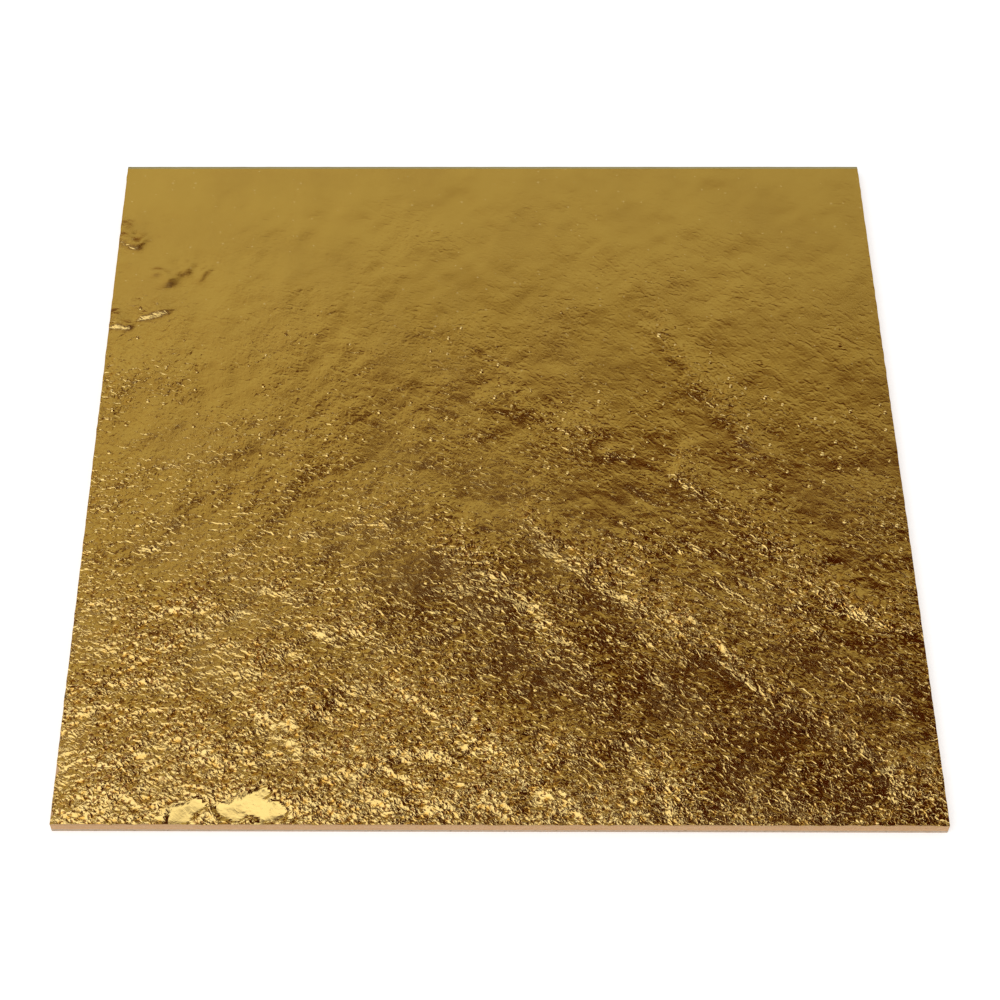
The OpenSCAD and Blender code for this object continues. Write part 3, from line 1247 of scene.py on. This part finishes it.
def looked_at(tree):
    """1 for rays that look, straight or through a reflection or glass, and 0 for rays that carry light."""
    ray = add(tree, "ShaderNodeLightPath").outputs
    straight_or_mirrored = maths(tree, "MAXIMUM", ray["Is Camera Ray"], ray["Is Glossy Ray"])
    return maths(tree, "MAXIMUM", straight_or_mirrored, ray["Is Transmission Ray"])


def floor_material():
    material, tree, shader = new_material("pale_floor")
    shader.inputs["Base Color"].default_value = FLOOR_PALE
    shader.inputs["Roughness"].default_value = FLOOR_ROUGHNESS
    shader.inputs["Specular IOR Level"].default_value = 0.0
    level = maths(tree, "MULTIPLY", looked_at(tree), FLOOR_GLOW)
    glow = add(tree, "ShaderNodeEmission", {"Color": (1, 1, 1, 1), "Strength": level})
    both = add(tree, "ShaderNodeAddShader", {0: shader.outputs[0], 1: glow.outputs[0]})
    tree.links.new(both.outputs[0], tree.nodes["Material Output"].inputs["Surface"])
    return material


floor = flat_card("floor", FLOOR_HALF, 0.0, 1)
dress(floor, floor_material())
print("floor", 2 * FLOOR_HALF, "m wide")

# %% [markdown]
# Soft patches, as a shader group
#
# Metal shows what is around it, so a studio hangs cards and lamps over it for the metal to mirror. Here
# they are patches on one card. A patch is a rectangle with soft edges, worked out from how far a place
# lies inside each pair of sides.

# %% Soft patch group
def make_patch_group():
    group, given, result = new_group(
        "soft_patch",
        [("Place", "NodeSocketVector", (0, 0, 0)), ("Centre", "NodeSocketVector", (0, 0, 0)),
         ("Half Width", "NodeSocketFloat", 0.3), ("Half Depth", "NodeSocketFloat", 0.3),
         ("Soft Edge", "NodeSocketFloat", 0.03)],
        [("Mask", "NodeSocketFloat")],
    )
    from_centre = place_maths(group, "SUBTRACT", given["Place"], given["Centre"])
    parts = add(group, "ShaderNodeSeparateXYZ", {0: from_centre}).outputs
    inside = []
    for part, half in ((parts["X"], "Half Width"), (parts["Y"], "Half Depth")):
        over = maths(group, "SUBTRACT", given[half], maths(group, "ABSOLUTE", part))
        share = maths(group, "DIVIDE", over, given["Soft Edge"])
        inside.append(add(group, "ShaderNodeClamp", {0: share}).outputs[0])
    group.links.new(maths(group, "MULTIPLY", *inside), result["Mask"])
    return group


patch_group = make_patch_group()
print("made group", patch_group.name)

# %% [markdown]
# The ceiling card
#
# The card hangs over the book, deep brown overhead, where the leaf mirrors it in its creases, and warm
# grey behind, where the flat far side of the leaf mirrors it. On it are a dark patch, a warm one, and two
# large white ones like the panels of a studio, which make the glints. An image of a studio would do, but
# this script uses none. The card is seen only in reflections, and neither shades nor lights the rest.
# Places on it are counted in ceiling heights, because only directions matter in a reflection.

# %% Make the ceiling card
CEILING_HEIGHT = 0.8
CEILING_HALF = 2.4
CARD_TONES = [
    (-1.4, (0.30, 0.22, 0.11)), (-0.9, (0.058, 0.013, 0.002)), (-0.1, (0.052, 0.0105, 0.001)),
    (0.57, (0.052, 0.0105, 0.001)), (0.66, (0.125, 0.056, 0.018)), (0.73, (0.205, 0.135, 0.060)),
    (0.80, (0.285, 0.22, 0.11)), (0.87, (0.365, 0.295, 0.15)), (0.95, (0.43, 0.372, 0.205)),
    (1.22, (0.445, 0.39, 0.22)), (1.45, (0.20, 0.11, 0.04)), (1.9, (0.10, 0.035, 0.010)),
]
# Start, end, first and last value, as fade takes them
SIDE_FALL = (-0.3, 0.35, 1.07, 0.90)
LEFT_SHIFT = (-0.24, -0.06, 0.10, 0.0)
PATCH_DARK = (0.075, 0.028, 0.008, 1)
PATCH_WARM = (0.40, 0.325, 0.17, 1)
PATCH_WHITE = (1.2, 1.2, 1.22, 1)
# Centre, half width, half depth, soft edge and colour
PATCHES = [
    ((0.0, 0.655, 0), 0.14, 0.12, 0.10, PATCH_DARK),
    ((-0.35, 0.72, 0), 0.27, 0.16, 0.12, PATCH_WARM),
    ((-0.50, 0.07, 0), 0.575, 0.425, 0.12, PATCH_WHITE),
    ((0.48, -0.27, 0), 0.38, 0.38, 0.12, PATCH_WHITE),
]
LIGHTS_NOTHING = ("visible_camera", "visible_diffuse", "visible_transmission", "visible_volume_scatter",
                  "visible_shadow")


def card_tone(tree, back):
    """The tone of the card, from in front of the book to behind it."""
    first, last = CARD_TONES[0][0], CARD_TONES[-1][0]
    tones = add(tree, "ShaderNodeValToRGB", {0: fade(tree, back, first, last)})
    stops = tones.color_ramp.elements
    while len(stops) < len(CARD_TONES):
        stops.new(0.5)
    for stop, (where, tone) in zip(stops, CARD_TONES):
        stop.position = (where - first) / (last - first)
        stop.color = (*tone, 1)
    return tones.outputs["Color"]


def ceiling_material():
    material, tree, shader = new_material("ceiling_card")
    tree.nodes.remove(shader)
    place = object_place(tree, CEILING_HEIGHT)
    across, back = add(tree, "ShaderNodeSeparateXYZ", {0: place}).outputs[:2]
    colour = card_tone(tree, maths(tree, "ADD", back, fade(tree, across, *LEFT_SHIFT)))
    for centre, half_width, half_depth, edge, tone in PATCHES:
        mask = use(tree, patch_group, {"Place": place, "Centre": centre, "Half Width": half_width,
                                       "Half Depth": half_depth, "Soft Edge": edge})["Mask"]
        colour = blend_colours(tree, mask, colour, tone)
    glow = add(tree, "ShaderNodeEmission", {"Color": colour, "Strength": fade(tree, across, *SIDE_FALL)})
    tree.links.new(glow.outputs[0], tree.nodes["Material Output"].inputs["Surface"])
    material.cycles.emission_sampling = "NONE"
    return material


ceiling = flat_card("ceiling_card", CEILING_HALF, CEILING_HEIGHT, -1)
dress(ceiling, ceiling_material())
for kind_of_ray in LIGHTS_NOTHING:
    setattr(ceiling, kind_of_ray, False)
print("ceiling card", 2 * CEILING_HALF, "m wide at", CEILING_HEIGHT, "m, with", len(PATCHES), "patches")

# %% [markdown]
# Lamps and world
#
# The light is soft and plain: an even white world, and one large lamp from the upper left, at a level at
# which a colour renders about as it is written. The lamp itself is kept out of reflections, because the
# white patches on the ceiling card are what the gold mirrors in its place. The world is white to the
# camera and to mirrors, as the floor is, and a little dimmer as a light.

# %% Light the book
WORLD_LEVEL = 0.72
LAMP_PLACE = (-0.36, -0.30, 0.62)
LAMP_SIZE = 0.5
LAMP_POWER = 1.4


def soft_lamp(name, place, size, power):
    data = bpy.data.lights.new(name, "AREA")
    data.shape, data.size, data.energy = "SQUARE", size, power
    lamp = bpy.data.objects.new(name, data)
    lamp.location = place
    lamp.rotation_euler = Vector(place).to_track_quat("Z", "Y").to_euler()
    lamp.visible_glossy = False
    bpy.context.scene.collection.objects.link(lamp)
    return lamp


def plain_world():
    world = bpy.data.worlds.new("studio")
    world.use_nodes = True
    tree = world.node_tree
    background = tree.nodes["Background"]
    background.inputs["Color"].default_value = (1, 1, 1, 1)
    level = fade(tree, looked_at(tree), 0.0, 1.0, WORLD_LEVEL, 1.0)
    tree.links.new(level, background.inputs["Strength"])
    bpy.context.scene.world = world


plain_world()
soft_lamp("soft_lamp", LAMP_PLACE, LAMP_SIZE, LAMP_POWER)
bpy.context.scene.view_settings.view_transform = "Standard"
print("lit")
